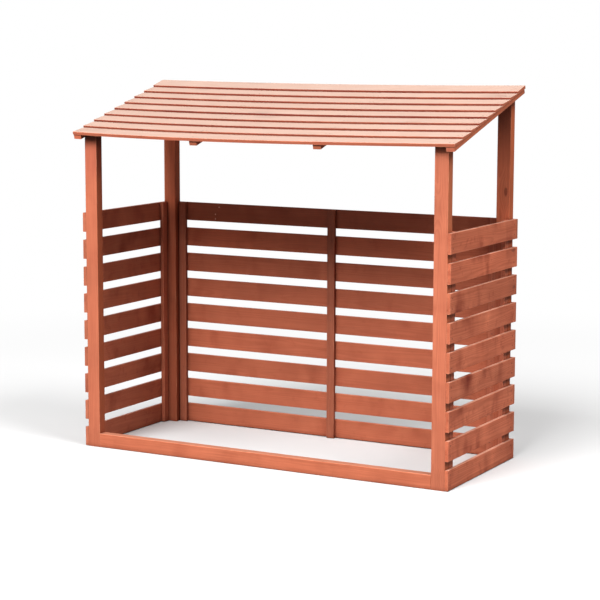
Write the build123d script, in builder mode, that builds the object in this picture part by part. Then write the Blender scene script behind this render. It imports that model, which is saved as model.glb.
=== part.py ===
from build123d import *
from math import cos, radians, sin, tan
import os

# Log store: an open timber frame with slatted sides and back under a lean-to roof.
# Millimetres. X runs along the open front, Y from front to back, Z up.
# The origin is on the ground, at the middle of the overall footprint.

# Frame
frame_width = 1828.0        # over the outer faces of the posts
frame_depth = 716.0         # front of the front posts to back of the rear posts
post_width = 64.0           # along X
post_depth = 45.0           # along Y
rail_height = 64.0          # bottom rail across the front
rail_depth = 45.0
front_height = 1469.0       # ground to the roof boards at the front of the posts
roof_slope = 16.2           # degrees, rising to the back

# Slatted sides and back
slat_height = 89.0
slat_thickness = 16.0
slat_gap = 37.0
slat_count = 9
ground_clearance = 2.0      # under the lowest slats and their battens
batten_width = 38.0
batten_thickness = 19.0
batten_clearance = 3.0      # between the battens and the posts beside them

# Roof
rafter_width = 38.0
rafter_thickness = 20.5
rafter_top_setback = 6.0    # upper rafter ends short of the boards; lower ends flush
board_count = 9
board_thick_edge = 14.0
board_thin_edge = 4.0
board_lap = 10.0            # width of the thin edge housed under the next board
lap_clearance = 0.3
front_overhang = 36.0       # front edge of the lowest board to the front of the posts
side_overhang = 3.0         # ends of the boards beyond the outer rafters

# Rounded corners of the planed timber
slat_edge = 2.0
post_edge = 2.5
batten_edge = 1.5
rafter_edge = 1.5
board_edge = 1.5

# Places worked out from the sizes above
slope = radians(roof_slope)
total_depth = front_overhang + frame_depth + slat_thickness
front_y = front_overhang - total_depth / 2          # front of the front posts
rear_y = front_y + frame_depth                      # back of the rear posts
panel_height = slat_count * slat_height + (slat_count - 1) * slat_gap
slat_pitch = slat_height + slat_gap
post_inner_x = frame_width / 2 - post_width
eaves_y = front_y - front_overhang + board_thick_edge * sin(slope)
eaves_z = front_height - (front_y - eaves_y) * tan(slope)
roof_length = (rear_y + slat_thickness - eaves_y) / cos(slope)
rafter_length = roof_length - rafter_top_setback
board_exposure = roof_length / board_count
roof_half_width = frame_width / 2 + rafter_width + side_overhang
rafter_half_span = frame_width / 2 + rafter_width / 2

os.makedirs("parts", exist_ok=True)


def roof_underside(y):
    """Height of the boards' flat underside at depth y."""
    return eaves_z + (y - eaves_y) * tan(slope)


def roof_plane(x):
    """Section plane of the roof at x: its own x runs up the slope, its y out of it."""
    return Plane(origin=(x, eaves_y, eaves_z), x_dir=(0, cos(slope), sin(slope)), z_dir=(1, 0, 0))


def write(piece, name):
    piece.part.label = name
    export_step(piece.part, f"parts/{name}.step")


# Posts: square-cut feet, tops bevelled to the slope of the roof
def make_post(name, inner_x, y):
    with BuildPart() as post:
        with BuildSketch(Plane.YZ.offset(inner_x)):
            with BuildLine():
                Polyline(
                    (y, 0),
                    (y + post_depth, 0),
                    (y + post_depth, roof_underside(y + post_depth)),
                    (y, roof_underside(y)),
                    close=True,
                )
            make_face()
        extrude(amount=post_width)
        fillet(post.edges().filter_by(Axis.Z), radius=post_edge)
    write(post, name)


make_post("front_left_post", -frame_width / 2, front_y)
make_post("front_right_post", post_inner_x, front_y)
make_post("rear_left_post", -frame_width / 2, rear_y - post_depth)
make_post("rear_right_post", post_inner_x, rear_y - post_depth)

# Bottom rail across the open front, between the posts
with BuildPart() as front_rail:
    with BuildSketch(Plane.XY):
        with Locations((0, front_y + rail_depth / 2)):
            Rectangle(2 * post_inner_x, rail_depth)
    extrude(amount=rail_height)
    fillet(front_rail.edges().filter_by(Axis.X), radius=post_edge)
write(front_rail, "front_rail")


# Slatted panels: equal slats one above another, on the outside of the posts
def slat_heights():
    first = ground_clearance + slat_height / 2
    return [first + row * slat_pitch for row in range(slat_count)]


def make_side_slats(name, inner_x):
    with BuildPart() as slats:
        with BuildSketch(Plane.YZ.offset(inner_x)):
            with Locations([(front_y + frame_depth / 2, z) for z in slat_heights()]):
                Rectangle(frame_depth, slat_height)
        extrude(amount=slat_thickness)
        fillet(slats.edges().filter_by(Axis.Y), radius=slat_edge)
    write(slats, name)


make_side_slats("left_side_slats", -frame_width / 2 - slat_thickness)
make_side_slats("right_side_slats", frame_width / 2)

with BuildPart() as rear_slats:
    with BuildSketch(Plane.XZ.offset(-rear_y - slat_thickness)):
        with Locations([(0, z) for z in slat_heights()]):
            Rectangle(frame_width + 2 * slat_thickness, slat_height)
    extrude(amount=slat_thickness)
    fillet(rear_slats.edges().filter_by(Axis.X), radius=slat_edge)
write(rear_slats, "rear_slats")


# Upright battens inside the panels, beside the posts and in the middle of the back
def make_batten(name, x, y, size_x, size_y):
    with BuildPart() as batten:
        with BuildSketch(Plane.XY.offset(ground_clearance)):
            with Locations((x, y)):
                Rectangle(size_x, size_y)
        extrude(amount=panel_height)
        fillet(batten.edges().filter_by(Axis.Z), radius=batten_edge)
    write(batten, name)


side_batten_x = frame_width / 2 - batten_thickness / 2
batten_from_post = batten_clearance + batten_width / 2
batten_front_y = front_y + post_depth + batten_from_post
batten_rear_y = rear_y - post_depth - batten_from_post
for side, sign in (("left", -1), ("right", 1)):
    for end, y in (("front", batten_front_y), ("rear", batten_rear_y)):
        make_batten(f"{side}_side_{end}_batten", sign * side_batten_x, y, batten_thickness, batten_width)

rear_batten_x = post_inner_x - batten_from_post
for place, x in (("left", -rear_batten_x), ("centre", 0.0), ("right", rear_batten_x)):
    make_batten(f"back_{place}_batten", x, rear_y - batten_thickness / 2, batten_width, batten_thickness)


# Rafters: laid flat under the boards, the outer two against the outside of the posts
def make_rafter(name, x):
    with BuildPart() as rafter:
        with BuildSketch(roof_plane(x - rafter_width / 2)):
            with Locations((rafter_length / 2, -rafter_thickness / 2)):
                Rectangle(rafter_length, rafter_thickness)
        extrude(amount=rafter_width)
        fillet(rafter.edges().sort_by(SortBy.LENGTH)[-4:], radius=rafter_edge)
    write(rafter, name)


rafter_places = ("left", "inner_left", "inner_right", "right")
rafter_step = 2 * rafter_half_span / (len(rafter_places) - 1)
for number, place in enumerate(rafter_places):
    make_rafter(f"{place}_rafter", -rafter_half_span + number * rafter_step)

# Roof boards: weatherboards that taper from a thick front edge to a thin back edge.
# Each front edge is rebated over the thin edge of the board below it.
board_taper = (board_thick_edge - board_thin_edge) / (board_exposure + board_lap)


def board_top(u):
    """Thickness of a tapered board at distance u behind its front edge."""
    return board_thick_edge - board_taper * u


def make_board(name, number):
    lowest = number == 1
    highest = number == board_count
    front_u = (number - 1) * board_exposure
    width = board_exposure if highest else board_exposure + board_lap
    back_thickness = board_thick_edge if highest else board_top(width)
    rebate = board_lap + lap_clearance
    lip = board_top(board_exposure) + lap_clearance
    front_foot = [(0, 0)] if lowest else [(0, lip), (rebate, lip - rebate * board_taper), (rebate, 0)]
    outline = front_foot + [(width, 0), (width, back_thickness), (0, board_thick_edge)]
    with BuildPart() as board:
        with BuildSketch(roof_plane(0)):
            with BuildLine():
                Polyline([(front_u + u, v) for u, v in outline], close=True)
            make_face()
        extrude(amount=roof_half_width, both=True)
        front_edges = board.edges().filter_by(Axis.X).group_by(Axis.Y)[0]
        fillet(front_edges.sort_by(Axis.Z)[-1], radius=board_edge)
    write(board, name)


for number in range(1, board_count + 1):
    make_board(f"roof_board_{number}", number)
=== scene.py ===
from collections import namedtuple
from math import atan2, cos, pi, radians, sin

import bmesh
import bpy
from mathutils import Matrix, Vector


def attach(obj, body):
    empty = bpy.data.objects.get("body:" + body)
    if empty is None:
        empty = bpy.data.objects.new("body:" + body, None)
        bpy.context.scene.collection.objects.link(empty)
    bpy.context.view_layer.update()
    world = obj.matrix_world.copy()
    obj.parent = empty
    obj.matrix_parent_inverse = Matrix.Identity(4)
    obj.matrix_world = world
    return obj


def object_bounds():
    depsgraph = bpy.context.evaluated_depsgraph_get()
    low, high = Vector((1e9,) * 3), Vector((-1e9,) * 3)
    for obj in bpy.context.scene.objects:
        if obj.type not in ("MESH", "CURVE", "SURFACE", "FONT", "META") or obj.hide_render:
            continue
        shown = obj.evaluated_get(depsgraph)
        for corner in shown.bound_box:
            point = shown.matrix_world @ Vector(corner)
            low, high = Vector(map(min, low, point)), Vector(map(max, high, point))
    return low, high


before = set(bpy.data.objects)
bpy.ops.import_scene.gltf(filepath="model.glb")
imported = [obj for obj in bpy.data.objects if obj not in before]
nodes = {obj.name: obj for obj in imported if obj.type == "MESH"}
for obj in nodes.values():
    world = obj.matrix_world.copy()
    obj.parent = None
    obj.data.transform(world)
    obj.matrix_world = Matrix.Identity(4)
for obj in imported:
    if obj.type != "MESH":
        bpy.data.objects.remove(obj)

# Looks of the log store: stained softwood on every board, nail and screw heads, studio and camera.
# Metres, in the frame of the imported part: X along the open front, Y from front to back, Z up.

cad_box = [list(corner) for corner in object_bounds()]


def points_of(name):
    return [vertex.co.copy() for vertex in nodes[name].data.vertices]


def box_round(points):
    """Lowest and highest corner of the box round the points."""
    low = Vector([min(point[axis] for point in points) for axis in range(3)])
    high = Vector([max(point[axis] for point in points) for axis in range(3)])
    return low, high


def middle_of(name, out=(0.0, 0.0, 0.0)):
    """Middle of a node's box or, given a way out along an axis, of the side that faces that way."""
    low, high = box_round(points_of(name))
    return (low + high) / 2 + (high - low) / 2 * Vector(out)


# Sizes that the part is made with
ROOF_SLOPE = radians(16.2)
BOARDS = 9
BOARD_THICK_EDGE = 0.014
BOARD_THIN_EDGE = 0.004
BOARD_LAP = 0.010
SLATS = 9
SLAT_HEIGHT = 0.089
SLAT_GAP = 0.037
SLAT_PITCH = SLAT_HEIGHT + SLAT_GAP

# Names, sizes and places worked out from the frame
roof_boards = [f"roof_board_{number}" for number in range(1, BOARDS + 1)]
rafters = [name for name in sorted(nodes) if name.endswith("_rafter")]
battens = [name for name in sorted(nodes) if name.endswith("_batten")]
ROOF_HALF_WIDTH = cad_box[1][0]
ROOF_FRONT, ROOF_BACK = cad_box[0][1], cad_box[1][1]
EAVES = min(points_of(roof_boards[0]), key=lambda point: point.z)
BOARD_EXPOSURE = (ROOF_BACK - EAVES.y) / cos(ROOF_SLOPE) / BOARDS
BOARD_TAPER = (BOARD_THICK_EDGE - BOARD_THIN_EDGE) / (BOARD_EXPOSURE + BOARD_LAP)

# Ways to face
LEFTWARD = (-1.0, 0.0, 0.0)
RIGHTWARD = (1.0, 0.0, 0.0)
FRONTWARD = (0.0, -1.0, 0.0)
BACKWARD = (0.0, 1.0, 0.0)

# Shapes of the nail and screw heads. Shares are of the head's own radius and rise.
NAIL_RADIUS = 0.0030
NAIL_RISE = 0.0007
NAIL_SIDES = 14
NAIL_BRIM = 0.45                # share of the rise where the brim starts to round
SHOULDER_RADIUS = 0.80          # and the shares where it ends
SHOULDER_RISE = 0.90
SCREW_RADIUS = 0.0038
SCREW_RISE = 0.0009
SCREW_SIDES = 24
SCREW_BRIM = 0.35
SCREW_TOP = 0.84
RECESS_REACH = 0.56
RECESS_HALF_WIDTH = 0.15
RECESS_DEPTH = 0.75
RECESS_DRAFT = 0.18
SUNK = 0.0002                   # how far a head reaches into the wood

# Places of the heads
NAIL_SETBACK = 0.022            # behind the front edge of a roof board
NAIL_SPREAD = 0.009             # to either side of a rafter's middle
SLAT_SPREAD = 0.022             # above and below the middle of a slat
SLAT_SCREW_TURN = (0.0, 0.5, 0.866)     # the way an arm of the recess points
RAFTER_SCREW_TURN = (0.0, 0.8, 0.6)
RAFTER_SCREWS = (               # Y and Z, two near the top of each post
    (-0.3300, 1.4560),
    (-0.3180, 1.4620),
    (0.3380, 1.6490),
    (0.3520, 1.6560),
)

# Weight of the roof: how far it has sunk midway, at its front and at its back,
# and how much the front sinks more towards its left end
FRONT_SAG = 0.0120
BACK_SAG = 0.0078
FRONT_SKEW = 0.30
SAG_CUTS = 4
UNSUNK = "unsunk"           # attribute that keeps where a point of the roof was before it sank

# Colours of the wood, linear
EARLY_WOOD = (0.610, 0.182, 0.098)
LATE_WOOD = (0.430, 0.106, 0.054)
KNOT_WOOD = (0.150, 0.030, 0.016)
WORN_WOOD = (0.720, 0.300, 0.170)
# Pale wood of up-facing faces: sun-bleaching together with a painted highlight
BLEACHED_HIGHLIT_WOOD = (0.414, 0.299, 0.249)
BLEACHED_HIGHLIT_LATE = (0.363, 0.207, 0.150)
BARE_WOOD = (0.950, 0.520, 0.400)
# Painted shade in the laps of the roof boards, together with stain soaked into cut edges
DEEP_STAIN_AND_SHADE = (0.205, 0.034, 0.019)
SMUDGE_TONE = (0.62, 0.42, 0.40)
# Painted shade in crevices, where boards meet
CREVICE_SHADE_TONE = (0.30, 0.20, 0.18)

# Noises: repeats in a metre along the grain, across it and into the board, detail, roughness.
# The last one is for steel, the same every way.
STREAKS = ((2.1, 52.0, 52.0), 4.0, 0.62)
BROAD_STREAKS = ((0.9, 17.0, 17.0), 2.0, 0.5)
GRAIN = ((5.0, 150.0, 150.0), 2.0, 0.6)
FIBRES = ((16.0, 620.0, 620.0), 2.0, 0.6)
RING_WANDER = ((1.3, 7.0, 7.0), 2.0, 0.55)
KNOT_OUTLINE = ((60.0, 90.0, 90.0), 2.0, 0.55)
BLOTCHES = ((3.6, 4.6, 4.6), 3.0, 0.6)
LAP_DRIFT = ((5.0, 9.0, 9.0), 2.0, 0.5)
LAPS = ((10.0, 4.5, 4.5), 2.0, 0.45)
LAP_PRESSURE = ((3.2, 5.0, 5.0), 1.0, 0.5)
SMUDGES = ((26.0, 22.0, 22.0), 3.0, 0.60)
FRAYED_ARRIS = ((40.0, 160.0, 160.0), 2.0, 0.55)
WORN_STRETCHES = ((7.0, 30.0, 30.0), 2.0, 0.55)
SHADE_AND_SOAK_NOISE = ((5.0, 30.0, 30.0), 3.0, 0.6)
STEEL_PATCHES = ((210.0, 210.0, 210.0), 3.0, 0.6)

# Knots, each in a cell of its own. Their sizes are in cells.
KNOT_CELLS = (3.1, 8.0, 1.2)        # in a metre along the grain, across it and into the board
KNOT_FREE = 0.40                    # share of the cells without a knot
KNOT_RADIUS, KNOT_VARIES = 0.060, 0.065
KNOT_RAGGED = 0.045
KNOT_CORE = 0.62                    # in radii
KNOT_SWIRL = 3.6                    # in radii, reach of the grain that bends round a knot
KNOT_RINGS = 34.0                   # rings in one cell
# Knots fade where the wood is bleached and painted pale
KNOT_SHOWS, KNOT_FADES = 0.80, -0.45    # the second where the wood is bleached
RINGS_SHOW = 0.6
SWIRL_STRENGTH, SWIRL_LIGHT = 0.30, 0.62

# Growth rings, in metres. What varies does so from board to board.
PITH_ASIDE, PITH_ASIDE_VARIES = 0.010, -0.11
PITH_BELOW, PITH_BELOW_VARIES = 0.016, 0.05
RING_WIDTH, RING_VARIES = 0.0038, 0.0022
RING_SWERVE = 0.034                 # how far the rings wander
KNOT_SWERVE = 0.011                 # how far they bend round a knot
LATE_GROWS = (0.28, 0.86)           # shares of a ring between which its late wood sets in
LATE_STOPS = (1.0, 0.90)            # and over which it breaks off

# Figure: how much late wood, streaks, broad streaks, grain and fibres deepen it, the number that brings
# their sum near nothing, and the depth of wood where that sum is nothing
FIGURE_WEIGHTS = (0.42, 0.95, 0.35, 1.10, 0.26)
FIGURE_START, FIGURE_MIDDLE = -1.22, 0.30
BLEACHED_HIGHLIT_FIGURE = 0.85              # share of the figure that shows in bleached wood

# Surface: what streaks, wear and knots add to its roughness, and fibres, late wood, streaks
# and the rings of knots to its relief
ROUGHNESS, ROUGHNESS_WEIGHTS = 0.46, (0.20, 0.16, -0.12)
RELIEF_WEIGHTS = (0.55, 0.40, 0.45, 0.35)
RELIEF_STRENGTH, RELIEF_DEPTH = 0.45, 0.0006
WOOD_SPECULAR = 0.30

# Stain: how light a board is, its blotches, which fade where it is bleached and painted pale, and the
# roller's laps
BOARD_STAIN, BOARD_VARIES = 0.935, 0.13
BLOTCH_STRENGTH, BLOTCH_FADES = 0.45, -0.30
LAP_SWAY = 0.060                    # metres
LAP_PRESSED = (0.40, 0.60)
LAP_WEIGHT = (0.15, 1.45)           # where the roller ran lightly and where it was pressed
LAP_COLOURS = (1.10, 1.55, 1.65)    # how much a lap changes red, green and blue
LAP_LIGHTENS = 0.45                 # share that is left of a lap where it lightens the board
SMUDGED = (0.57, 0.70)
SMUDGE_STRENGTH = 0.30

# Wear on the arrises in metres, painted shade in crevices, and darker cut edges: painted shade in the laps
# of the roof boards together with stain soaked into cut edges
ARRIS_WORN, ARRIS_UNWORN = 0.0004, 0.0026
ARRIS_FRAY = 0.0042
WORN_PATCHES = (0.36, 0.62)
WORN_STRENGTH = 0.42
CREVICE_REACH = 0.030
CREVICE_SAMPLES = 6
CREVICE_OPEN, CREVICE_DEEP = 0.92, 0.25
CREVICE_SHADE_STRENGTH = 0.80
SHADE_AND_SOAK_PATCHES = (0.30, 0.62)
SHADE_AND_SOAK_WEIGHT = (0.55, 1.0)

# Draws by a seed
SEED_APART = 7.7                    # between the two draws of one board
SEED_PER_ROW = 1.37                 # between one slat and the next
DRAW_SPREAD = (31.0, 23.0, 17.0)    # how far apart the draws move the figure

# How squarely a face points one way: not at all up to the first share of its normal, fully from the second
FACING = (0.55, 0.90)
FACING_SQUARELY = (0.80, 0.95)
SHADE_AND_SOAK_FACING = (0.70, 0.90)
END_GRAIN = 0.7                     # share of the normal from which a face is the end of a board

# Axes of a piece in the order along the grain, across it and into the board
ALONG_X = (0, 1, 2)
ALONG_X_UPRIGHT = (0, 2, 1)
ALONG_Y = (1, 2, 0)
ALONG_Z = (2, 0, 1)

# A band of painted shade below the top of a piece, or of painted light where its tone is above one: full
# down to one depth and gone at the other, its tone, and whether it lies on the front face alone
Shade = namedtuple("Shade", "full gone tone front_only")

# Tones of the pieces against each other; those of the posts, the rail's top, the rear and left slats, the
# back battens, the rafters' fronts and joints and the lowest board's front are painted light and shade. Rows
# of slats and boards run from the lowest up.
PLAIN = (1.0, 1.0, 1.0)
# The posts' tones, side casts and shades are painted light and shade: shade under the eaves and the roof,
# light where the open sides let it in
POSTS = {
    "front_left_post": {
        "tone": (1.0, 1.0, 0.98), "sides": (0.60, 0.52, 0.42),
        "shades": (
            Shade(0.020, 0.100, (0.22, 0.14, 0.08), False),
            Shade(0.16, 0.25, (0.91, 0.85, 0.89), False),
        ),
    },
    "front_right_post": {
        "tone": (1.02, 1.04, 1.03), "sides": (0.91, 0.88, 0.72),
        "shades": (Shade(0.026, 0.054, (0.36, 0.30, 0.22), False),),
    },
    "rear_left_post": {
        "tone": (0.80, 0.74, 0.67), "sides": (0.80, 0.68, 0.56),
        "shades": (
            Shade(0.56, 0.66, (1.43, 1.43, 1.43), False),
            Shade(0.56, 0.66, (1.22, 1.18, 1.15), True),
        ),
    },
    "rear_right_post": {
        "tone": (0.86, 0.77, 0.72), "sides": (1.02, 0.95, 0.72),
        "shades": (
            Shade(0.55, 0.66, (1.55, 1.60, 1.55), True),
            Shade(0.10, 0.47, (0.28, 0.27, 0.27), True),
        ),
    },
}
# The rail's top is darkened: painted shade
RAIL_TONE, RAIL_TOP_SHADE = (1.13, 1.12, 1.05), (0.74, 0.73, 0.69)
# The rear slats' tint is painted shade: redder, as wood looks under the roof
RIGHT_TONE, REAR_SHADE_TINT = (1.08, 1.02, 0.96), (1.0, 0.93, 0.88)
RIGHT_ROWS = (1.05, 1.13, 1.00, 0.96, 1.08, 1.01, 0.89, 1.02, 0.94)
# The rear rows' tones are partly random and partly painted shade
REAR_ROW_TONE_AND_SHADE = (0.93, 0.89, 0.90, 0.92, 0.93, 0.89, 1.00, 1.17, 0.86)
# The left slats are darker: painted shade inside the store
LEFT_ROW_SHADE = (0.88, 0.88, 0.88, 0.88, 0.88, 0.88, 0.88, 0.76, 0.88)
# Two back battens are darker: painted shade inside the store
BATTEN_SHADE = {"back_left_batten": 0.66, "back_centre_batten": 0.70}
RAFTER_TONE = (0.91, 0.89, 0.82)
# Painted light on the front ends of the outer rafters
RAFTER_FRONT_LIGHT = {"left_rafter": (1.50, 1.40, 1.45), "right_rafter": (1.12, 1.10, 1.25)}
# Painted shade in a line under the roof boards, on the front ends of the rafters
OUTER_JOINT_SHADE = (Shade(0.0016, 0.0056, (0.22, 0.16, 0.12), True),)
INNER_JOINT_SHADE = (Shade(0.005, 0.009, (0.15, 0.10, 0.07), True),)
BOARD_LIGHT = (0.93, 0.95, 0.98, 1.0, 1.02, 0.98, 1.01, 1.0, 0.95)
# Painted light on the front edge of the lowest roof board
LOWEST_FRONT_LIGHT = (1.18, 1.13, 1.13)

# How dark the front edges of the roof boards are, painted shade in the laps together with stain soaked into
# them, and how deep the stain has soaked into their ends
FRONT_SHADE_AND_SOAK = (0.12, 0.50, 0.78, 0.72, 1.00, 0.74, 0.80, 0.77, 0.83)
END_SOAK = 0.08

# Chips in the stain of the highest back slat: place along X and up Z, half width and half height
CHIPS = (
    (-0.6256, 1.0810, 0.0060, 0.0030),
    (-0.6474, 1.0456, 0.0036, 0.0044),
    (-0.6475, 1.0235, 0.0032, 0.0046),
)
CHIP_EDGE = (1.0, 0.6)              # shares of its size between which a chip goes from stain to bare wood

# Steel of the heads: film of stain and rust under it, on the walls and on the roof, and where it shows
WALL_STEEL = ((0.430, 0.125, 0.072), (0.240, 0.078, 0.050))
ROOF_STEEL = ((0.360, 0.235, 0.185), (0.170, 0.085, 0.060))
RUST_SHOWS = (0.42, 0.66)
STEEL_ROUGHNESS, RUST_ROUGHENS = 0.45, 0.25
STEEL_METALLIC = 0.25

# Seeds, which pick the figure of each board
POST_SEED, RAIL_SEED, LEFT_SEED, RIGHT_SEED, REAR_SEED = 3.1, 9.4, 20.2, 41.6, 63.3
BATTEN_SEED, RAFTER_SEED, BOARD_SEED = 80.5, 90.9, 101.3


class Graph:
    """Short calls for building one node tree."""

    def __init__(self, tree):
        self.tree = tree

    def node(self, kind, **settings):
        made = self.tree.nodes.new(kind)
        for name, value in settings.items():
            setattr(made, name, value)
        return made

    def feed(self, socket, value):
        if isinstance(value, bpy.types.NodeSocket):
            self.tree.links.new(value, socket)
        else:
            socket.default_value = value

    def math(self, operation, *values, clamp=False):
        made = self.node("ShaderNodeMath", operation=operation, use_clamp=clamp)
        for socket, value in zip(made.inputs, values):
            self.feed(socket, value)
        return made.outputs[0]

    def weigh(self, base, *parts):
        """The base plus every source times its weight."""
        total = base
        for source, weight in parts:
            total = self.math("MULTIPLY_ADD", source, weight, total)
        return total

    def product(self, first, *others):
        for other in others:
            first = self.math("MULTIPLY", first, other)
        return first

    def vector(self, operation, *values):
        made = self.node("ShaderNodeVectorMath", operation=operation)
        for socket, value in zip(made.inputs, values):
            self.feed(socket, value)
        return made.outputs["Value" if operation == "LENGTH" else "Vector"]

    def split(self, vector):
        made = self.node("ShaderNodeSeparateXYZ")
        self.feed(made.inputs[0], vector)
        return made.outputs[0], made.outputs[1], made.outputs[2]

    def join(self, x, y, z):
        made = self.node("ShaderNodeCombineXYZ")
        for socket, value in zip(made.inputs, (x, y, z)):
            self.feed(socket, value)
        return made.outputs[0]

    def noise(self, vector, stretch, detail, roughness):
        made = self.node("ShaderNodeTexNoise")
        self.feed(made.inputs["Vector"], self.vector("MULTIPLY", vector, stretch))
        made.inputs["Scale"].default_value = 1.0
        made.inputs["Detail"].default_value = detail
        made.inputs["Roughness"].default_value = roughness
        return made.outputs["Fac"]

    def draw(self, seed):
        """A colour and a value picked by the seed."""
        made = self.node("ShaderNodeTexWhiteNoise", noise_dimensions="1D")
        self.feed(made.inputs["W"], seed)
        return made.outputs["Color"], made.outputs["Value"]

    def step(self, value, start, end, low=0.0, high=1.0):
        """Goes softly from low to high while the value goes from start to end."""
        made = self.node("ShaderNodeMapRange", interpolation_type="SMOOTHSTEP")
        sockets = ("Value", "From Min", "From Max", "To Min", "To Max")
        for name, item in zip(sockets, (value, start, end, low, high)):
            self.feed(made.inputs[name], item)
        return made.outputs["Result"]

    def mix(self, factor, first, second):
        made = self.node("ShaderNodeMix", data_type="RGBA", blend_type="MIX")
        made.clamp_factor = True
        self.feed(made.inputs[0], factor)
        for socket, value in ((made.inputs[6], first), (made.inputs[7], second)):
            self.feed(socket, (*value, 1.0) if isinstance(value, tuple) else value)
        return made.outputs[2]

    def tint(self, colour, amount):
        """The colour times one number."""
        return self.vector("MULTIPLY", colour, self.join(amount, amount, amount))


# Stained softwood, as one node group that every board uses
def knots(g, place):
    """How far a point lies in a knot, in the swirl round it and on the knot's own rings."""
    cells = g.node("ShaderNodeTexVoronoi", voronoi_dimensions="3D", feature="F1")
    g.feed(cells.inputs["Vector"], g.vector("MULTIPLY", place, KNOT_CELLS))
    cells.inputs["Scale"].default_value = 1.0
    near = cells.outputs["Distance"]
    has, size, _ = g.split(cells.outputs["Color"])
    present = g.math("GREATER_THAN", has, KNOT_FREE)
    radius = g.weigh(KNOT_RADIUS, (size, KNOT_VARIES))
    ragged = g.weigh(near, (g.noise(place, *KNOT_OUTLINE), KNOT_RAGGED))
    knot = g.product(g.step(ragged, radius, g.product(radius, KNOT_CORE)), present)
    swirl = g.product(g.step(near, g.product(radius, KNOT_SWIRL), radius), present)
    rings = g.product(g.math("FRACT", g.product(near, KNOT_RINGS)), knot)
    return knot, swirl, rings


def late_wood(g, board, place, pith, swirl):
    """Share of dark late wood, in rings about a pith that runs beside the board."""
    pith_y, pith_z, spread = g.split(pith)
    _, across, deep = g.split(board)
    off_y = g.math("ADD", across, g.weigh(PITH_ASIDE, (pith_y, PITH_ASIDE_VARIES)))
    off_z = g.math("ADD", deep, g.weigh(PITH_BELOW, (pith_z, PITH_BELOW_VARIES)))
    wander = g.weigh(-RING_SWERVE / 2, (g.noise(place, *RING_WANDER), RING_SWERVE))
    reach = g.math("ADD", g.vector("LENGTH", g.join(0.0, off_y, off_z)), wander)
    reach = g.weigh(reach, (swirl, KNOT_SWERVE))
    turn = g.math("FRACT", g.math("DIVIDE", reach, g.weigh(RING_WIDTH, (spread, RING_VARIES))))
    return g.product(g.step(turn, *LATE_GROWS), g.step(turn, *LATE_STOPS))


def figured(g, place, late, streak, fibre, figure, bleach_and_highlight):
    """Colour of the wood's figure, fresh, or sun-bleached with a painted highlight."""
    broad = g.noise(place, *BROAD_STREAKS)
    grain = g.noise(place, *GRAIN)
    depth = g.weigh(FIGURE_START, *zip((late, streak, broad, grain, fibre), FIGURE_WEIGHTS))
    depth = g.math("MULTIPLY_ADD", depth, figure, FIGURE_MIDDLE, clamp=True)
    fresh = g.mix(depth, EARLY_WOOD, LATE_WOOD)
    bleached_and_highlit = g.mix(g.product(depth, BLEACHED_HIGHLIT_FIGURE), BLEACHED_HIGHLIT_WOOD, BLEACHED_HIGHLIT_LATE)
    return g.mix(bleach_and_highlight, fresh, bleached_and_highlit)


def stained(g, colour, place, luck, tone, laps, bleach_and_highlight):
    """Blotches of stain, the roller's laps across the grain, and smudges."""
    own = g.weigh(BOARD_STAIN, (luck, BOARD_VARIES))
    blotch = g.math("SUBTRACT", g.noise(place, *BLOTCHES), 0.5)
    uneven = g.math("ADD", own, g.product(blotch, g.weigh(BLOTCH_STRENGTH, (bleach_and_highlight, BLOTCH_FADES))))
    drift = g.weigh(-LAP_SWAY / 2, (g.noise(place, *LAP_DRIFT), LAP_SWAY))
    brushed = g.vector("ADD", place, g.join(drift, 0.0, 0.0))
    pressure = g.step(g.noise(place, *LAP_PRESSURE), *LAP_PRESSED, *LAP_WEIGHT)
    lapped = g.product(g.math("SUBTRACT", g.noise(brushed, *LAPS), 0.5), laps, pressure)
    lapped = g.math("MINIMUM", lapped, g.product(lapped, LAP_LIGHTENS))
    shares = [g.weigh(uneven, (lapped, strength)) for strength in LAP_COLOURS]
    colour = g.vector("MULTIPLY", g.vector("MULTIPLY", colour, tone), g.join(*shares))
    smudged = g.product(g.step(g.noise(brushed, *SMUDGES), *SMUDGED), laps, SMUDGE_STRENGTH)
    return g.mix(smudged, colour, g.vector("MULTIPLY", colour, SMUDGE_TONE))


def knotted(g, colour, knot, swirl, rings, bleach_and_highlight):
    """Darkens the swirl round a knot and lays in the knot with its rings."""
    colour = g.mix(g.product(swirl, SWIRL_STRENGTH), colour, g.tint(colour, SWIRL_LIGHT))
    shown = g.product(knot, g.weigh(KNOT_SHOWS, (bleach_and_highlight, KNOT_FADES)))
    return g.mix(shown, colour, g.mix(g.product(rings, RINGS_SHOW), KNOT_WOOD, LATE_WOOD))


def worn_arris(g, place, edge):
    """Share of wear, on frayed stretches of the arrises."""
    frayed = g.weigh(g.math("SUBTRACT", edge, ARRIS_FRAY / 2), (g.noise(place, *FRAYED_ARRIS), ARRIS_FRAY))
    stretches = g.step(g.noise(place, *WORN_STRETCHES), *WORN_PATCHES)
    return g.product(g.step(frayed, ARRIS_UNWORN, ARRIS_WORN), stretches)


def darkened(g, colour, place, shade_and_soak):
    """Painted shade in the crevices, and darker cut edges: painted shade in the laps of the roof boards
    together with stain soaked into cut edges.
    """
    # Painted shade: darker where other wood hems the point in, as ambient occlusion finds it
    corner = g.node("ShaderNodeAmbientOcclusion", samples=CREVICE_SAMPLES)
    corner.inputs["Distance"].default_value = CREVICE_REACH
    crevice_shade = g.product(g.step(corner.outputs["AO"], CREVICE_OPEN, CREVICE_DEEP), CREVICE_SHADE_STRENGTH)
    colour = g.mix(crevice_shade, colour, g.vector("MULTIPLY", colour, CREVICE_SHADE_TONE))
    # Painted shade in the laps of the roof boards, together with stain soaked into cut edges, in patches
    shaded_and_soaked = g.product(shade_and_soak, g.step(g.noise(place, *SHADE_AND_SOAK_NOISE), *SHADE_AND_SOAK_PATCHES, *SHADE_AND_SOAK_WEIGHT))
    return g.mix(shaded_and_soaked, colour, DEEP_STAIN_AND_SHADE)


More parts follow.
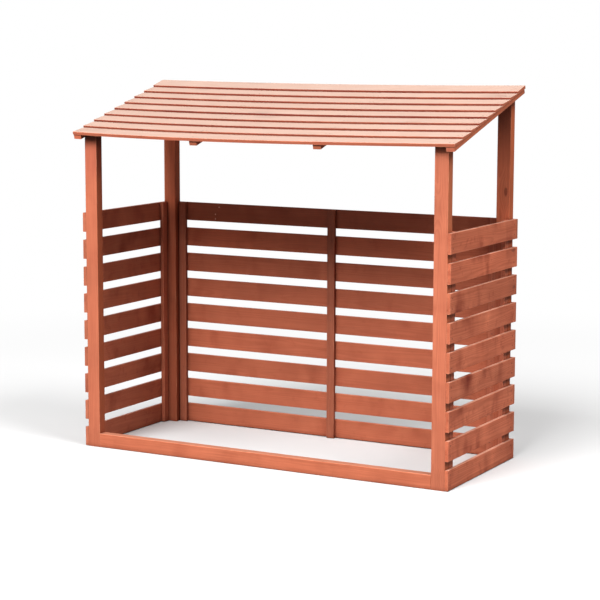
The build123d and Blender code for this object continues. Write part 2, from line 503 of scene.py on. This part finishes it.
def softwood_group():
    """Stained softwood: growth rings about a pith, streaks, fibres, knots, uneven stain and worn arrises,
    with painted shade in crevices and laps, and sun-bleached up-facing faces with a painted highlight.
    """
    tree = bpy.data.node_groups.new("stained_softwood", "ShaderNodeTree")
    for direction, kind, names in (
        ("INPUT", "Vector", ("Board", "Tone")),
        ("INPUT", "Float", ("Seed", "Edge", "Bleach", "Laps", "Figure", "Soak")),
        ("OUTPUT", "Color", ("Color",)),
        ("OUTPUT", "Float", ("Roughness", "Height")),
    ):
        for name in names:
            tree.interface.new_socket(name, in_out=direction, socket_type=f"NodeSocket{kind}")
    g = Graph(tree)
    given = g.node("NodeGroupInput").outputs
    board, seed, bleach_and_highlight, laps = (given[name] for name in ("Board", "Seed", "Bleach", "Laps"))

    shift, luck = g.draw(seed)
    pith, _ = g.draw(g.math("ADD", seed, SEED_APART))
    place = g.vector("ADD", board, g.vector("MULTIPLY", shift, DRAW_SPREAD))
    knot, swirl, rings = knots(g, place)
    late = late_wood(g, board, place, pith, swirl)
    streak = g.noise(place, *STREAKS)
    fibre = g.noise(place, *FIBRES)
    worn = worn_arris(g, place, given["Edge"])

    colour = figured(g, place, late, streak, fibre, given["Figure"], bleach_and_highlight)
    colour = stained(g, colour, place, luck, given["Tone"], laps, bleach_and_highlight)
    colour = knotted(g, colour, knot, swirl, rings, bleach_and_highlight)
    colour = g.mix(g.product(worn, WORN_STRENGTH), colour, WORN_WOOD)
    colour = darkened(g, colour, place, given["Soak"])
    rough = g.weigh(ROUGHNESS, *zip((streak, worn, knot), ROUGHNESS_WEIGHTS))
    height = g.weigh(0.0, *zip((fibre, late, streak, rings), RELIEF_WEIGHTS))

    out = g.node("NodeGroupOutput")
    for name, value in (("Color", colour), ("Roughness", rough), ("Height", height)):
        g.feed(out.inputs[name], value)
    return tree


SOFTWOOD = softwood_group()


# One material for each board
def blank_material(name):
    """A new material and the graph to build it in."""
    made = bpy.data.materials.new(name)
    made.use_nodes = True
    made.node_tree.nodes.clear()
    return made, Graph(made.node_tree)


def show(g, shader):
    g.feed(g.node("ShaderNodeOutputMaterial").inputs["Surface"], shader.outputs[0])


def level(point, tilted):
    """A point of the roof as it would be with the roof laid level."""
    return Matrix.Rotation(-ROOF_SLOPE, 3, "X") @ point if tilted else point


def wood_place(g, tilted):
    """The same for the point that is shaded, from where it was before the roof sank."""
    if not tilted:
        return g.node("ShaderNodeTexCoord").outputs["Object"]
    turned = g.node("ShaderNodeVectorRotate", rotation_type="X_AXIS")
    g.feed(turned.inputs["Vector"], g.node("ShaderNodeAttribute", attribute_name=UNSUNK).outputs["Vector"])
    turned.inputs["Angle"].default_value = -ROOF_SLOPE
    return turned.outputs["Vector"]


def slat_rows(g, height, seed, lights):
    """Height within the slat, the slat's own seed and its own light, for a panel of slats."""
    row = g.math("FLOOR", g.math("DIVIDE", height, SLAT_PITCH))
    light = 1.0
    for number, share in enumerate(lights):
        light = g.weigh(light, (g.math("COMPARE", row, float(number), 0.5), share - 1.0))
    within = g.math("SUBTRACT", height, g.product(row, SLAT_PITCH))
    return within, g.weigh(seed, (row, SEED_PER_ROW)), light


def arris_distance(g, point, size):
    """Distance to the nearest arris, taken as the second smallest of the distances to the faces."""
    a, b, c = (
        g.math("MINIMUM", value, g.math("SUBTRACT", full, value)) for value, full in zip(point, size)
    )
    nearer, further = g.math("MINIMUM", a, b), g.math("MAXIMUM", a, b)
    return g.math("MAXIMUM", nearer, g.math("MINIMUM", further, c))


def chipped(g, colour, place, toward, chips):
    """Bare wood where the stain has chipped off a front face."""
    x, _, z = g.split(place)
    for chip_x, chip_z, half_width, half_height in chips:
        off_x = g.math("DIVIDE", g.math("SUBTRACT", x, chip_x), half_width)
        off_z = g.math("DIVIDE", g.math("SUBTRACT", z, chip_z), half_height)
        chip = g.step(g.vector("LENGTH", g.join(off_x, 0.0, off_z)), *CHIP_EDGE)
        colour = g.mix(g.product(chip, g.step(toward, *FACING)), colour, BARE_WOOD)
    return colour


def wood_shader(g, wood, colour):
    bump = g.node("ShaderNodeBump")
    bump.inputs["Strength"].default_value = RELIEF_STRENGTH
    bump.inputs["Distance"].default_value = RELIEF_DEPTH
    g.feed(bump.inputs["Height"], wood.outputs["Height"])
    shader = g.node("ShaderNodeBsdfPrincipled")
    shader.inputs["Specular IOR Level"].default_value = WOOD_SPECULAR
    g.feed(shader.inputs["Base Color"], colour)
    g.feed(shader.inputs["Roughness"], wood.outputs["Roughness"])
    g.feed(shader.inputs["Normal"], bump.outputs["Normal"])
    show(g, shader)


def timber(name, axes, seed, tilted=False, rows=(), tone=PLAIN, sides=PLAIN, painted_top_light=PLAIN, painted_front_light=PLAIN,
           shades=(), chips=(), bleach_and_highlight=0.0, shade_and_soak=0.0, laps=0.3, figure=0.7):
    """Gives one CAD node its own stained-wood material, set out from the node's own corners.

    The tone is the whole piece's; the casts on the faces that point right, up and to the front are painted
    light and shade;
    the shades are bands of painted shade or painted light below the top; up-facing faces are sun-bleached
    with a painted highlight; and the front edges are darkened by painted shade in the laps together with the
    share of stain soaked into them.
    """
    low, high = box_round([level(point, tilted) for point in points_of(name)])
    size = high - low
    made, g = blank_material(f"wood_{name}")
    place = wood_place(g, tilted)
    x, y, z = g.split(g.vector("SUBTRACT", place, tuple(low)))
    if rows:
        size.z = SLAT_HEIGHT
        z, seed, light = slat_rows(g, z, seed, rows)
        tone = g.tint(tone, light)
    point = (x, y, z)

    aside, ahead, up = g.split(g.node("ShaderNodeNewGeometry").outputs["True Normal"])
    toward = g.product(ahead, -1.0)
    # Painted light and shade on the faces that point right, up and to the front
    casts = ((aside, FACING, sides), (up, FACING, painted_top_light), (toward, FACING_SQUARELY, painted_front_light))
    for direction, squarely, cast in casts:
        if cast != PLAIN:
            tone = g.vector("MULTIPLY", tone, g.mix(g.step(direction, *squarely), PLAIN, cast))
    # Bands of painted shade, or painted light, below the top of the piece
    for shade in shades:
        shaded = g.step(z, size.z - shade.gone, size.z - shade.full)
        if shade.front_only:
            shaded = g.product(shaded, g.step(toward, *FACING))
        tone = g.vector("MULTIPLY", tone, g.mix(shaded, PLAIN, shade.tone))

    # Up-facing faces turn pale: sun-bleaching together with a painted highlight
    wood = g.node("ShaderNodeGroup", node_tree=SOFTWOOD)
    given = {
        "Board": g.join(*(point[axis] for axis in axes)), "Seed": seed, "Tone": tone,
        "Edge": arris_distance(g, point, size), "Bleach": g.product(g.step(up, *FACING), bleach_and_highlight),
        "Laps": laps, "Figure": figure,
    }
    # Front edges darkened by painted shade in the laps together with stain soaked into them; end grain by
    # stain alone
    if shade_and_soak:
        end_grain = g.math("GREATER_THAN", g.math("ABSOLUTE", aside), END_GRAIN)
        given["Soak"] = g.weigh(g.product(g.step(toward, *SHADE_AND_SOAK_FACING), shade_and_soak), (end_grain, END_SOAK))
    for socket, value in given.items():
        g.feed(wood.inputs[socket], value)
    wood_shader(g, wood, chipped(g, wood.outputs["Color"], place, toward, chips))
    nodes[name].data.materials.clear()
    nodes[name].data.materials.append(made)


def sag_modifier():
    """Lets a roof piece sink between the posts, most at the middle, a little less at the back."""
    tree = bpy.data.node_groups.new("roof_sag", "GeometryNodeTree")
    for direction in ("INPUT", "OUTPUT"):
        tree.interface.new_socket("Geometry", in_out=direction, socket_type="NodeSocketGeometry")
    g = Graph(tree)
    start = g.node("NodeGroupInput").outputs[0]
    end = g.node("NodeGroupOutput").inputs[0]
    finer = g.node("GeometryNodeSubdivideMesh")
    finer.inputs["Level"].default_value = SAG_CUTS
    place = g.node("GeometryNodeInputPosition").outputs[0]
    keep = g.node("GeometryNodeStoreNamedAttribute", data_type="FLOAT_VECTOR", domain="POINT")
    keep.inputs["Name"].default_value = UNSUNK
    g.feed(keep.inputs["Value"], place)
    x, y, _ = g.split(place)
    share = g.math("DIVIDE", x, ROOF_HALF_WIDTH)
    middle = g.math("SUBTRACT", 1.0, g.product(share, share), clamp=True)
    back = g.math("DIVIDE", g.math("SUBTRACT", y, ROOF_FRONT), ROOF_BACK - ROOF_FRONT)
    fall = g.weigh(-FRONT_SAG, (back, FRONT_SAG - BACK_SAG))
    skew = g.product(g.math("SUBTRACT", back, 1.0), g.product(share, FRONT_SKEW))
    fall = g.product(fall, g.math("ADD", skew, 1.0))
    shift = g.node("GeometryNodeSetPosition")
    g.feed(finer.inputs["Mesh"], start)
    g.feed(keep.inputs["Geometry"], finer.outputs["Mesh"])
    g.feed(shift.inputs["Geometry"], keep.outputs["Geometry"])
    g.feed(shift.inputs["Offset"], g.join(0.0, 0.0, g.product(fall, middle)))
    g.feed(end, shift.outputs["Geometry"])
    return tree


def roof_fall(x, y):
    """The same fall of the roof at one place, for what is nailed to it."""
    share = x / ROOF_HALF_WIDTH
    back = (y - ROOF_FRONT) / (ROOF_BACK - ROOF_FRONT)
    fall = FRONT_SAG + back * (BACK_SAG - FRONT_SAG)
    return fall * (1.0 + (back - 1.0) * share * FRONT_SKEW) * max(0.0, 1.0 - share * share)


# Every board of the store
for number, (name, looks) in enumerate(POSTS.items()):
    timber(name, ALONG_Z, POST_SEED + number, laps=0.25, **looks)
timber("front_rail", ALONG_X, RAIL_SEED, tone=RAIL_TONE, painted_top_light=RAIL_TOP_SHADE, bleach_and_highlight=0.35, figure=1.0)
timber("left_side_slats", ALONG_Y, LEFT_SEED, rows=LEFT_ROW_SHADE, bleach_and_highlight=0.25, laps=1.0, figure=0.45)
timber("right_side_slats", ALONG_Y, RIGHT_SEED, rows=RIGHT_ROWS, tone=RIGHT_TONE, bleach_and_highlight=0.60,
       laps=1.5, figure=0.90)
timber("rear_slats", ALONG_X_UPRIGHT, REAR_SEED, rows=REAR_ROW_TONE_AND_SHADE, tone=REAR_SHADE_TINT, chips=CHIPS, bleach_and_highlight=0.10,
       laps=0.5, figure=0.5)
for number, name in enumerate(battens):
    timber(name, ALONG_Z, BATTEN_SEED + number, tone=(BATTEN_SHADE.get(name, 1.0),) * 3)
for number, name in enumerate(rafters):
    # Painted shade under the roof boards on each rafter's front end, and painted light on the outer ones
    joint_shade = INNER_JOINT_SHADE if name.startswith("inner") else OUTER_JOINT_SHADE
    front = RAFTER_FRONT_LIGHT.get(name, PLAIN)
    timber(name, ALONG_Y, RAFTER_SEED + number, tilted=True, tone=RAFTER_TONE, painted_front_light=front, shades=joint_shade)
for number, (name, light, shade_and_soak) in enumerate(zip(roof_boards, BOARD_LIGHT, FRONT_SHADE_AND_SOAK)):
    # Painted light on the front edge of the lowest board
    front = PLAIN if number else LOWEST_FRONT_LIGHT
    timber(name, ALONG_X, BOARD_SEED + number, tilted=True, tone=(light,) * 3, painted_front_light=front, bleach_and_highlight=1.0,
           shade_and_soak=shade_and_soak, laps=0.12)
SAG = sag_modifier()
for name in rafters + roof_boards:
    nodes[name].modifiers.new("roof_sag", "NODES").node_group = SAG


# Nail and screw heads
def head_material(name, stain, rust):
    """Steel under a film of stain that has worn here and there."""
    made, g = blank_material(name)
    place = g.node("ShaderNodeTexCoord").outputs["Object"]
    patch = g.step(g.noise(place, *STEEL_PATCHES), *RUST_SHOWS)
    shader = g.node("ShaderNodeBsdfPrincipled")
    g.feed(shader.inputs["Base Color"], g.mix(patch, stain, rust))
    g.feed(shader.inputs["Roughness"], g.weigh(STEEL_ROUGHNESS, (patch, RUST_ROUGHENS)))
    shader.inputs["Metallic"].default_value = STEEL_METALLIC
    show(g, shader)
    return made


def ring(build, centre, out, side, radius, height, count):
    """A ring of points round a head's axis, at one height above the wood."""
    across = out.cross(side)
    angles = [2 * pi * step / count for step in range(count)]
    return [
        build.verts.new(centre + out * height + (side * cos(angle) + across * sin(angle)) * radius)
        for angle in angles
    ]


def band(build, outer, inner):
    """Faces between two rings."""
    count = len(outer)
    for step in range(count):
        after = (step + 1) % count
        build.faces.new((outer[step], outer[after], inner[after], inner[step]))


def nail_head(build, centre, out, side):
    """A round flat head with an eased rim."""
    foot = ring(build, centre, out, side, NAIL_RADIUS, -SUNK, NAIL_SIDES)
    brim = ring(build, centre, out, side, NAIL_RADIUS, NAIL_RISE * NAIL_BRIM, NAIL_SIDES)
    radius, height = NAIL_RADIUS * SHOULDER_RADIUS, NAIL_RISE * SHOULDER_RISE
    shoulder = ring(build, centre, out, side, radius, height, NAIL_SIDES)
    band(build, foot, brim)
    band(build, brim, shoulder)
    crown = build.verts.new(centre + out * NAIL_RISE)
    for step in range(NAIL_SIDES):
        build.faces.new((shoulder[step], shoulder[(step + 1) % NAIL_SIDES], crown))


def screw_head(build, centre, out, side):
    """A round head with a cross-shaped recess."""
    foot = ring(build, centre, out, side, SCREW_RADIUS, -SUNK, SCREW_SIDES)
    brim = ring(build, centre, out, side, SCREW_RADIUS, SCREW_RISE * SCREW_BRIM, SCREW_SIDES)
    top = ring(build, centre, out, side, SCREW_RADIUS * SCREW_TOP, SCREW_RISE, SCREW_SIDES)
    band(build, foot, brim)
    band(build, brim, top)
    across = out.cross(side)
    arm, half = SCREW_RADIUS * RECESS_REACH, SCREW_RADIUS * RECESS_HALF_WIDTH
    mouth, bottom = [], []
    for quarter in range(4):
        turn = quarter * pi / 2
        first = side * cos(turn) + across * sin(turn)
        second = out.cross(first)
        for reach, shift in ((arm, -half), (arm, half), (half, half)):
            from_middle = first * reach + second * shift
            edge = centre + out * SCREW_RISE + from_middle
            below = edge - out * SCREW_RISE * RECESS_DEPTH - from_middle * RECESS_DRAFT
            mouth.append(build.verts.new(edge))
            bottom.append(build.verts.new(below))
    points = len(mouth)
    for step in range(points):
        near = [top[(2 * step + shift) % SCREW_SIDES] for shift in (-1, 0, 1)]
        build.faces.new((*near, mouth[(step + 1) % points], mouth[step]))
    band(build, mouth, bottom)
    build.faces.new(bottom)


def heads(name, material, shape, spots):
    """One piece with a head at every spot, each spot a place, the way it faces and a way along the wood."""
    build = bmesh.new()
    for spot, out, side in spots:
        shape(build, Vector(spot), Vector(out), Vector(side))
    mesh = bpy.data.meshes.new(name)
    build.to_mesh(mesh)
    build.free()
    mesh.materials.append(material)
    piece = bpy.data.objects.new(name, mesh)
    bpy.context.scene.collection.objects.link(piece)
    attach(piece, "root")


def roof_spots():
    """Two nails through each board into each rafter, a little above its front edge."""
    out = Matrix.Rotation(ROOF_SLOPE - atan2(BOARD_TAPER, 1.0), 3, "X") @ Vector((0.0, 0.0, 1.0))
    rafter_places = sorted(middle_of(name).x for name in rafters)
    spots = []
    for board in range(BOARDS):
        u = board * BOARD_EXPOSURE + NAIL_SETBACK
        v = BOARD_THICK_EDGE - BOARD_TAPER * NAIL_SETBACK
        y = EAVES.y + u * cos(ROOF_SLOPE) - v * sin(ROOF_SLOPE)
        z = EAVES.z + u * sin(ROOF_SLOPE) + v * cos(ROOF_SLOPE)
        for middle in rafter_places:
            for x in (middle - NAIL_SPREAD, middle + NAIL_SPREAD):
                spots.append(((x, y, z - roof_fall(x, y)), out, RIGHTWARD))
    return spots


def row_heights():
    """Heights of the two heads in each slat."""
    low, _ = box_round(points_of("rear_slats"))
    middles = [low.z + SLAT_HEIGHT / 2 + row * SLAT_PITCH for row in range(SLATS)]
    return [middle + shift for middle in middles for shift in (-SLAT_SPREAD, SLAT_SPREAD)]


def slat_spots():
    """Two screws through the end of each side slat into each post."""
    spots = []
    for side, out in (("left", LEFTWARD), ("right", RIGHTWARD)):
        x = middle_of(f"{side}_side_slats", out).x
        for end in ("front", "rear"):
            y = middle_of(f"{end}_{side}_post").y
            spots += [((x, y, z), out, SLAT_SCREW_TURN) for z in row_heights()]
    return spots


def batten_spots():
    """Two nails through each batten into each slat, from the inside."""
    spots = []
    for name, out, side in (
        ("left_side_front_batten", RIGHTWARD, BACKWARD),
        ("left_side_rear_batten", RIGHTWARD, BACKWARD),
        ("right_side_front_batten", LEFTWARD, BACKWARD),
        ("right_side_rear_batten", LEFTWARD, BACKWARD),
        ("back_left_batten", FRONTWARD, RIGHTWARD),
        ("back_centre_batten", FRONTWARD, RIGHTWARD),
        ("back_right_batten", FRONTWARD, RIGHTWARD),
    ):
        x, y, _ = middle_of(name, out)
        spots += [((x, y, z), out, side) for z in row_heights()]
    return spots


def frame_spots():
    """Screws through the posts into the rafters beside them, from the inside."""
    spots = []
    for side, out in (("left", RIGHTWARD), ("right", LEFTWARD)):
        x = middle_of(f"front_{side}_post", out).x
        spots += [((x, y, z), out, RAFTER_SCREW_TURN) for y, z in RAFTER_SCREWS]
    return spots


WALL_HEADS = head_material("head_steel_walls", *WALL_STEEL)
ROOF_HEADS = head_material("head_steel_roof", *ROOF_STEEL)
heads("roof_nails", ROOF_HEADS, nail_head, roof_spots())
heads("slat_screws", WALL_HEADS, screw_head, slat_spots())
heads("batten_nails", WALL_HEADS, nail_head, batten_spots())
heads("frame_screws", WALL_HEADS, screw_head, frame_spots())

# Studio: a floor just under the feet, a sky that gives light from above, and two lamps
FLOOR_REACH = 60.0
FLOOR_LEVEL = -0.0004
FLOOR_SEEN = (0.55, 0.55, 0.55)
FLOOR_THROWS = (0.16, 0.157, 0.153)
FLOOR_FADES = (1.2, 5.0)            # where the floor starts to turn white and where it is white
SKY_LOW, SKY_HIGH = (0.05, 0.05, 0.05), (1.0, 1.0, 1.0)
SKY_RISES = (0.30, 0.95)            # from the sine of one height above the horizon to that of another
SKY_STRENGTH = 0.75
LAMP_TARGET = Vector((0.0, 0.0, 0.8))
LAMPS = {                           # place, width, watts
    "key": ((-0.5, -8.6, 11.0), 7.2, 2900.0),
    "fill": ((6.9, -1.8, 10.7), 5.4, 1330.0),
}

# Camera, where the photograph was taken from
CAMERA_PLACE = (4.0448, -7.3746, 1.9049)
CAMERA_TURN = radians(28.59)
CAMERA_DOWN = radians(8.066)
CAMERA_ROLL = radians(0.143)
CAMERA_LENS = 111.3                 # millimetres, on the sensor's width
SENSOR_WIDTH = 36.0


def floor_material():
    """Pale to the eye, greyer in the light that it throws back, and white far away."""
    made, g = blank_material("floor")
    seen = g.node("ShaderNodeLightPath").outputs["Is Camera Ray"]
    matt = g.node("ShaderNodeBsdfDiffuse")
    g.feed(matt.inputs["Color"], g.mix(seen, FLOOR_THROWS, FLOOR_SEEN))
    white = g.node("ShaderNodeEmission")
    g.feed(white.inputs["Strength"], seen)
    x, y, _ = g.split(g.node("ShaderNodeTexCoord").outputs["Object"])
    far = g.step(g.vector("LENGTH", g.join(x, y, 0.0)), *FLOOR_FADES)
    both = g.node("ShaderNodeMixShader")
    g.feed(both.inputs[0], g.product(far, seen))
    g.feed(both.inputs[1], matt.outputs[0])
    g.feed(both.inputs[2], white.outputs[0])
    show(g, both)
    return made


def floor():
    mesh = bpy.data.meshes.new("floor")
    around = ((-1, -1), (1, -1), (1, 1), (-1, 1))
    corners = [(x * FLOOR_REACH, y * FLOOR_REACH, FLOOR_LEVEL) for x, y in around]
    mesh.from_pydata(corners, [], [(0, 1, 2, 3)])
    made = bpy.data.objects.new("floor", mesh)
    bpy.context.scene.collection.objects.link(made)
    mesh.materials.append(floor_material())


def sky():
    """Soft light from above, and plain white to the eye."""
    world = bpy.data.worlds.new("studio")
    bpy.context.scene.world = world
    world.use_nodes = True
    world.node_tree.nodes.clear()
    g = Graph(world.node_tree)
    _, _, up = g.split(g.node("ShaderNodeTexCoord").outputs["Generated"])
    light = g.node("ShaderNodeBackground")
    g.feed(light.inputs["Color"], g.mix(g.step(up, *SKY_RISES), SKY_LOW, SKY_HIGH))
    light.inputs["Strength"].default_value = SKY_STRENGTH
    white = g.node("ShaderNodeBackground")
    white.inputs["Color"].default_value = (1.0, 1.0, 1.0, 1.0)
    white.inputs["Strength"].default_value = 1.0
    either = g.node("ShaderNodeMixShader")
    g.feed(either.inputs[0], g.node("ShaderNodeLightPath").outputs["Is Camera Ray"])
    g.feed(either.inputs[1], light.outputs[0])
    g.feed(either.inputs[2], white.outputs[0])
    g.feed(g.node("ShaderNodeOutputWorld").inputs["Surface"], either.outputs[0])


def lamp(name, place, width, power):
    data = bpy.data.lights.new(name, "AREA")
    data.shape = "DISK"
    data.size = width
    data.energy = power
    made = bpy.data.objects.new(name, data)
    bpy.context.scene.collection.objects.link(made)
    made.location = place
    made.rotation_euler = (LAMP_TARGET - Vector(place)).to_track_quat("-Z", "Y").to_euler()


def camera():
    turn, down, roll = CAMERA_TURN, CAMERA_DOWN, CAMERA_ROLL
    ahead = Vector((-sin(turn) * cos(down), cos(turn) * cos(down), -sin(down)))
    level_right = Vector((cos(turn), sin(turn), 0.0))
    level_up = level_right.cross(ahead)
    right = level_right * cos(roll) + level_up * sin(roll)
    up = level_up * cos(roll) - level_right * sin(roll)
    data = bpy.data.cameras.new("camera")
    data.sensor_fit = "HORIZONTAL"
    data.sensor_width = SENSOR_WIDTH
    data.lens = CAMERA_LENS
    made = bpy.data.objects.new("camera", data)
    bpy.context.scene.collection.objects.link(made)
    axes = Matrix((right, up, -ahead)).transposed().to_4x4()
    made.matrix_world = Matrix.Translation(CAMERA_PLACE) @ axes
    bpy.context.scene.camera = made


floor()
sky()
for name, (place, width, power) in LAMPS.items():
    lamp(name, place, width, power)
camera()
bpy.context.scene.view_settings.view_transform = "Standard"
